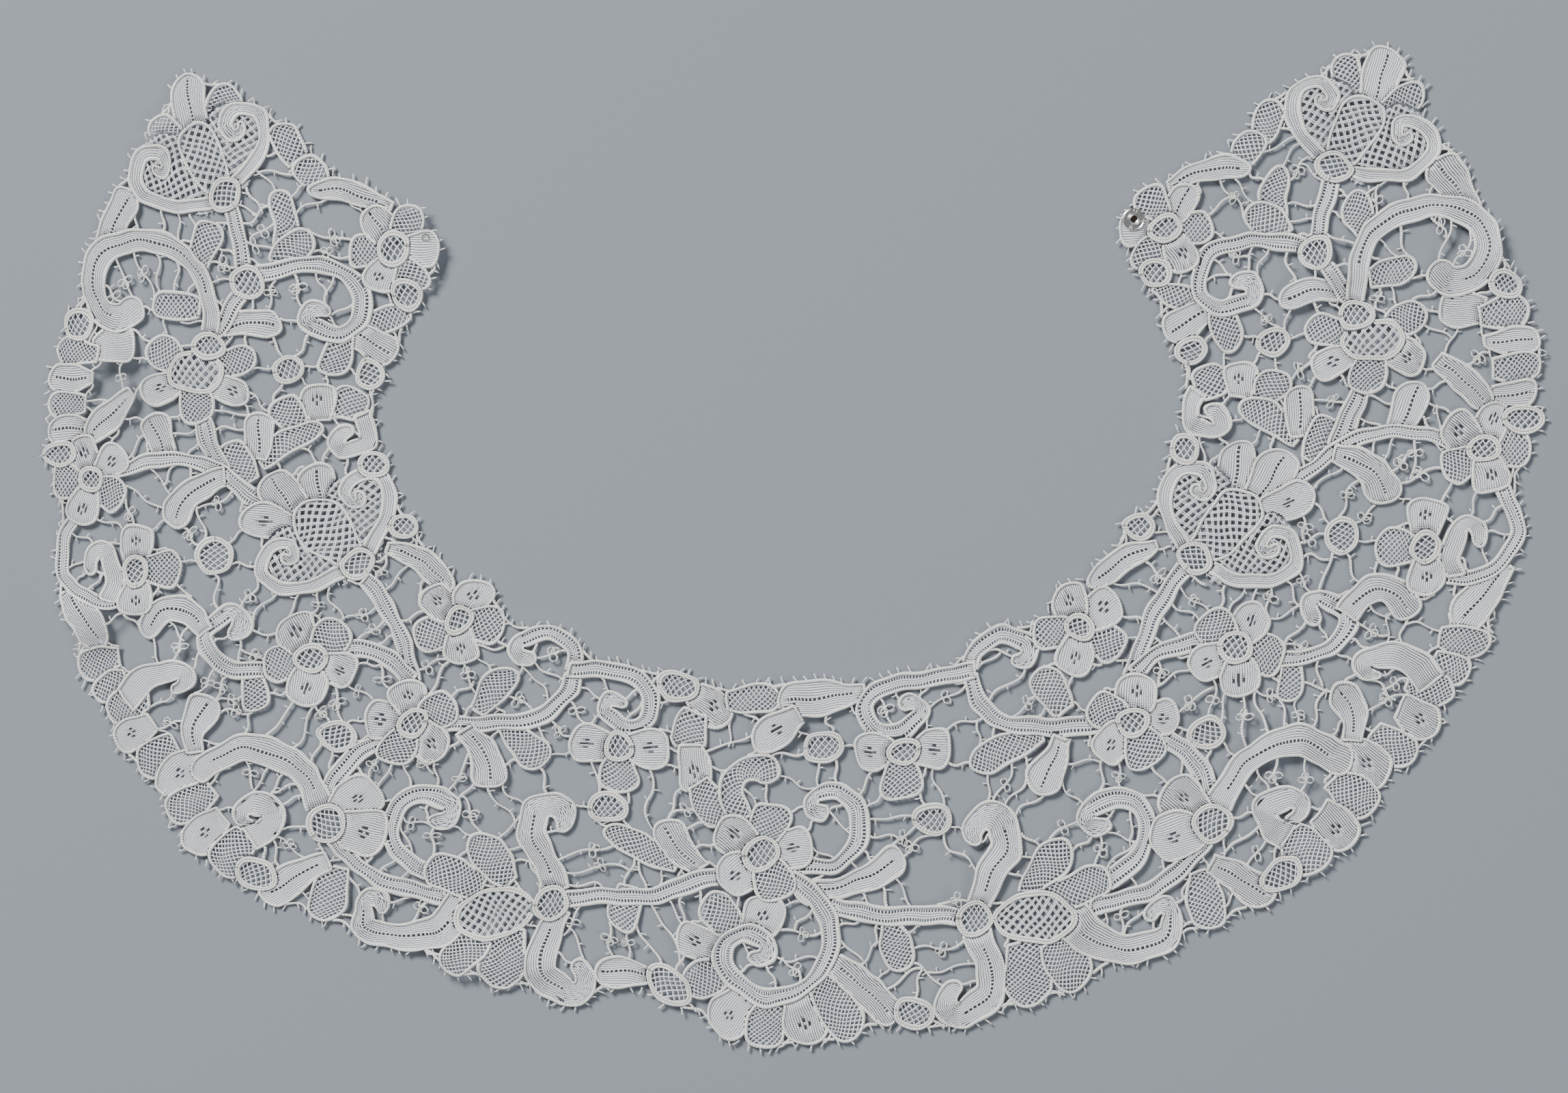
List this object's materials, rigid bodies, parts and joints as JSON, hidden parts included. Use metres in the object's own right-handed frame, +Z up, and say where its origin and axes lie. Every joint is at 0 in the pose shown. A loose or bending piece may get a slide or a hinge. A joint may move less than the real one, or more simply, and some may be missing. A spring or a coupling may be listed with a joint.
{
  "type": "lace collar",
  "caption": "Wide C-shaped needle lace collar that lies flat round the neck opening of a dress or blouse and closes at the throat with a press-stud.",
  "frame": {"origin": "on the table, under the middle of the laid collar", "axes": "+Z up off the table; +Y from the collar's centre back to its fronts; +X to the front that carries the socket"},
  "size_m": [0.4376, 0.2918, 0.0044],
  "materials": {
    "cotton": "matte cotton thread lace",
    "stud_metal": "bright nickel plate"
  },
  "bodies": {
    "root": {"spray_centre_back": "cotton", "spray_back_right": "cotton", "spray_back_left": "cotton", "spray_side_right": "cotton", "spray_side_left": "cotton", "spray_shoulder_right": "cotton", "spray_shoulder_left": "cotton", "spray_front_right": "cotton", "spray_front_left": "cotton", "stud_socket": "stud_metal", "stud_ball": "stud_metal"}
  },
  "joints": []
}
